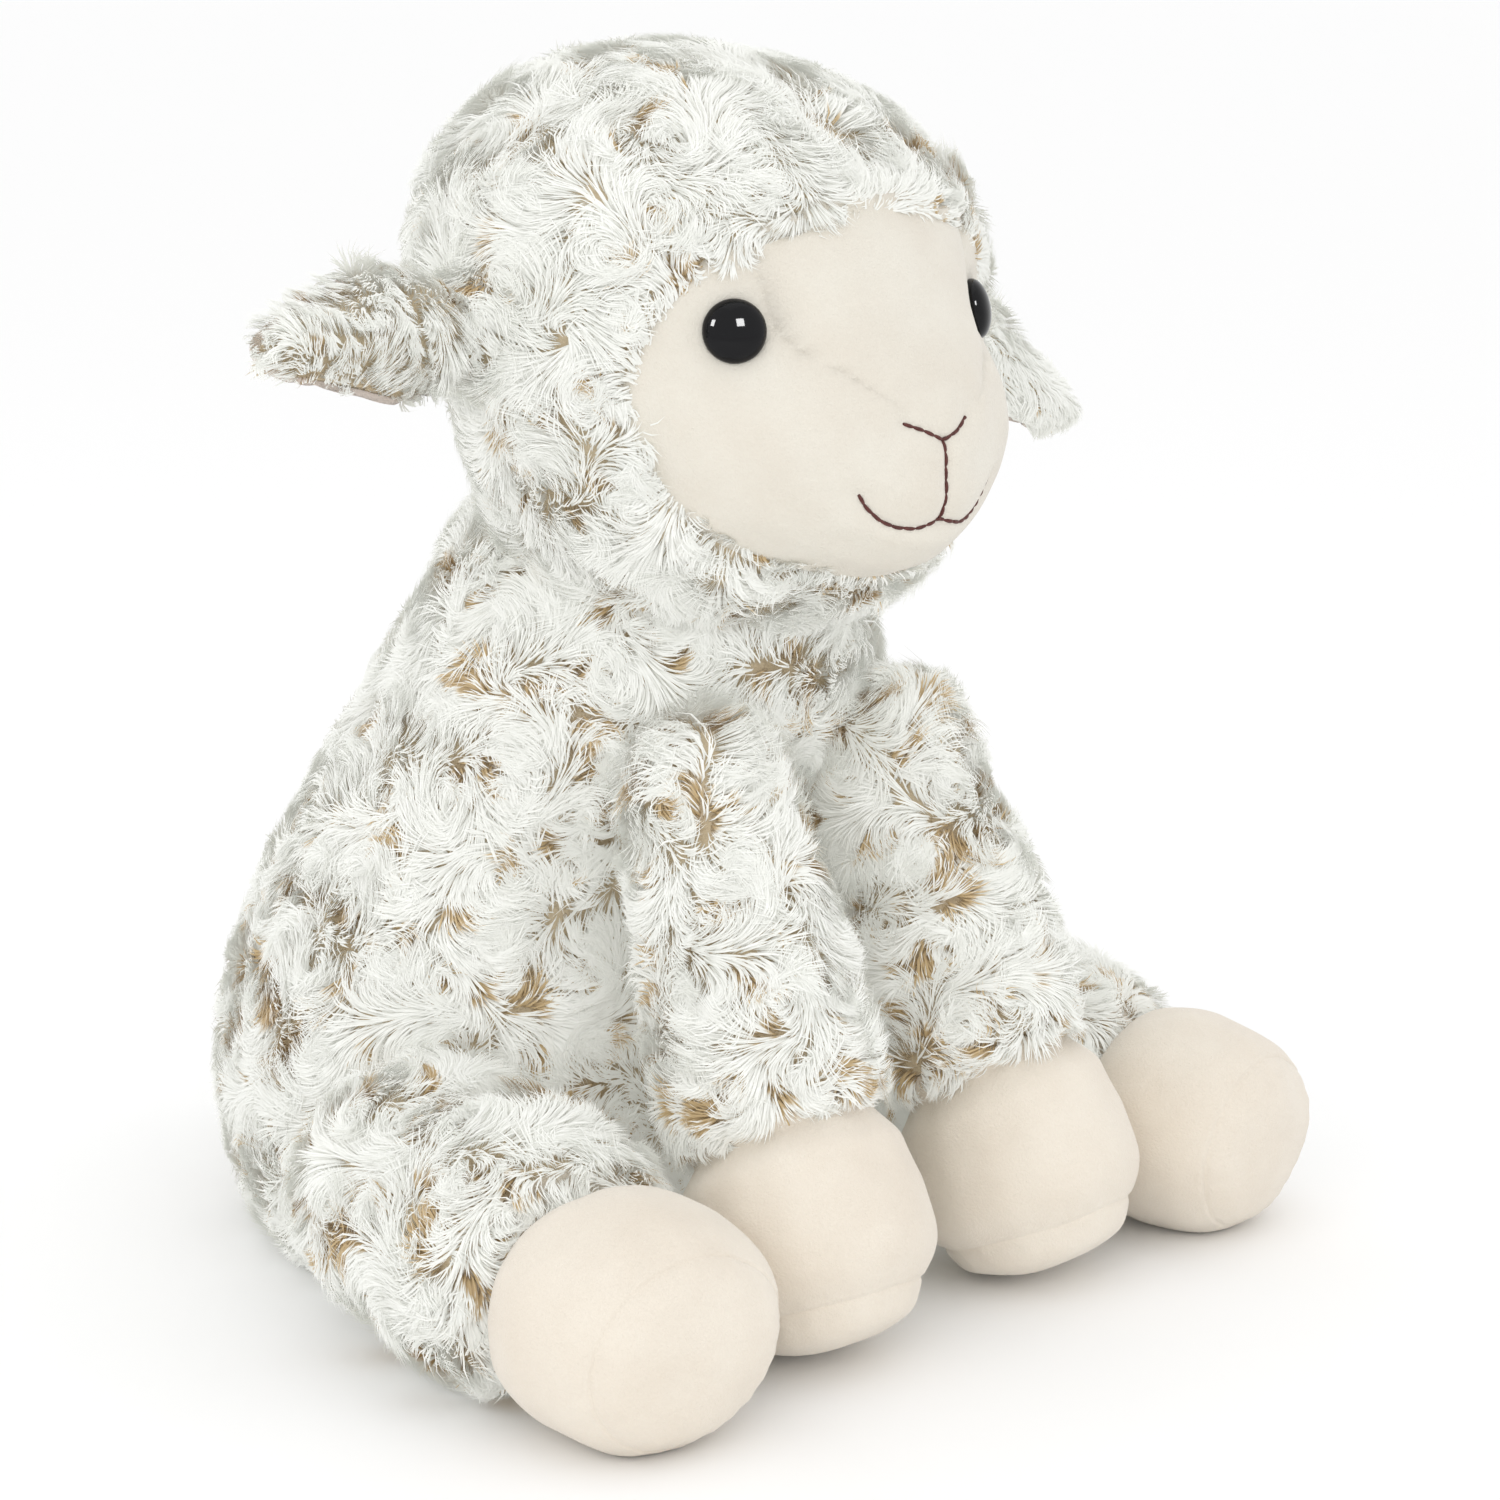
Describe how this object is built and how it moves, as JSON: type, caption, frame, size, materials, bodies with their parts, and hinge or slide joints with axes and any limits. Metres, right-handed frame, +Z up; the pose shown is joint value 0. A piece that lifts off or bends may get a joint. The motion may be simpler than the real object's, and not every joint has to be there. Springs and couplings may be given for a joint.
{
  "type": "plush sheep",
  "caption": "Sitting plush sheep with a curly fur body and hood, a short-pile face and hooves, a head that turns, and ears, legs and a tail that move.",
  "frame": {"origin": "on the flat seat the sheep sits on, in its middle plane, under the middle of the belly's widest ring", "axes": "+Z up out of the seat, -Y the way the sheep faces, +X the sheep's left"},
  "size_m": [0.2809, 0.2733, 0.302],
  "materials": {
    "curly_fur": "long curled pile, white tips over tan roots",
    "cream_velboa": "short brushed pile",
    "polyester_filling": "loose fibre",
    "pellet_bag_cloth": "plain woven",
    "black_eye_plastic": "polished",
    "white_washer_plastic": "moulded"
  },
  "bodies": {
    "torso": {"torso_fur": "curly_fur", "torso_filling": "polyester_filling", "seat_pellet_bag": "pellet_bag_cloth"},
    "tail_piece": {"tail": "curly_fur"},
    "head": {"head_hood": "curly_fur", "forehead_gusset": "cream_velboa", "cheek_left": "cream_velboa", "cheek_right": "cream_velboa", "head_filling": "polyester_filling", "eye_left": "black_eye_plastic", "eye_right": "black_eye_plastic", "eye_washer_left": "white_washer_plastic", "eye_washer_right": "white_washer_plastic"},
    "ear_left": {"ear_fur_left": "curly_fur", "ear_lining_left": "cream_velboa"},
    "ear_right": {"ear_fur_right": "curly_fur", "ear_lining_right": "cream_velboa"},
    "front_leg_left": {"front_leg_fur_left": "curly_fur", "front_hoof_left": "cream_velboa", "front_sole_left": "cream_velboa", "front_leg_filling_left": "polyester_filling"},
    "front_leg_right": {"front_leg_fur_right": "curly_fur", "front_hoof_right": "cream_velboa", "front_sole_right": "cream_velboa", "front_leg_filling_right": "polyester_filling"},
    "hind_leg_left": {"hind_leg_fur_left": "curly_fur", "hind_hoof_left": "cream_velboa", "hind_sole_left": "cream_velboa", "hind_leg_filling_left": "polyester_filling"},
    "hind_leg_right": {"hind_leg_fur_right": "curly_fur", "hind_hoof_right": "cream_velboa", "hind_sole_right": "cream_velboa", "hind_leg_filling_right": "polyester_filling"}
  },
  "joints": [
    {"name": "head_turn", "type": "hinge", "parent": "torso", "child": "head", "pos_m": [0, -0.017, 0.1765], "axis": [0, -0.2588, 0.9659], "range_deg": [-20, 20], "stiffness_Nm_per_rad": 0.15},
    {"name": "tail_wag", "type": "hinge", "parent": "torso", "child": "tail_piece", "pos_m": [0, 0.10578, 0.052], "axis": [0, 0, 1], "range_deg": [-25, 25], "stiffness_Nm_per_rad": 0.03},
    {"name": "ear_flop_left", "type": "hinge", "parent": "head", "child": "ear_left", "pos_m": [0.06867, -0.02884, 0.23859], "axis": [0, 1, 0], "range_deg": [-39, 5], "stiffness_Nm_per_rad": 0.06},
    {"name": "ear_flop_right", "type": "hinge", "parent": "head", "child": "ear_right", "pos_m": [-0.06867, -0.02884, 0.23859], "axis": [0, -1, 0], "range_deg": [-12, 22], "stiffness_Nm_per_rad": 0.06},
    {"name": "front_leg_swing_left", "type": "hinge", "parent": "torso", "child": "front_leg_left", "pos_m": [0.034, -0.064, 0.1285], "axis": [-1, 0, 0], "range_deg": [0, 60]},
    {"name": "front_leg_swing_right", "type": "hinge", "parent": "torso", "child": "front_leg_right", "pos_m": [-0.034, -0.064, 0.1285], "axis": [-1, 0, 0], "range_deg": [0, 60]},
    {"name": "hind_leg_swing_left", "type": "hinge", "parent": "torso", "child": "hind_leg_left", "pos_m": [0.0915, -0.03, 0.0355], "axis": [-1, 0, 0], "range_deg": [0, 30]},
    {"name": "hind_leg_swing_right", "type": "hinge", "parent": "torso", "child": "hind_leg_right", "pos_m": [-0.0915, -0.03, 0.0355], "axis": [-1, 0, 0], "range_deg": [0, 30]}
  ]
}
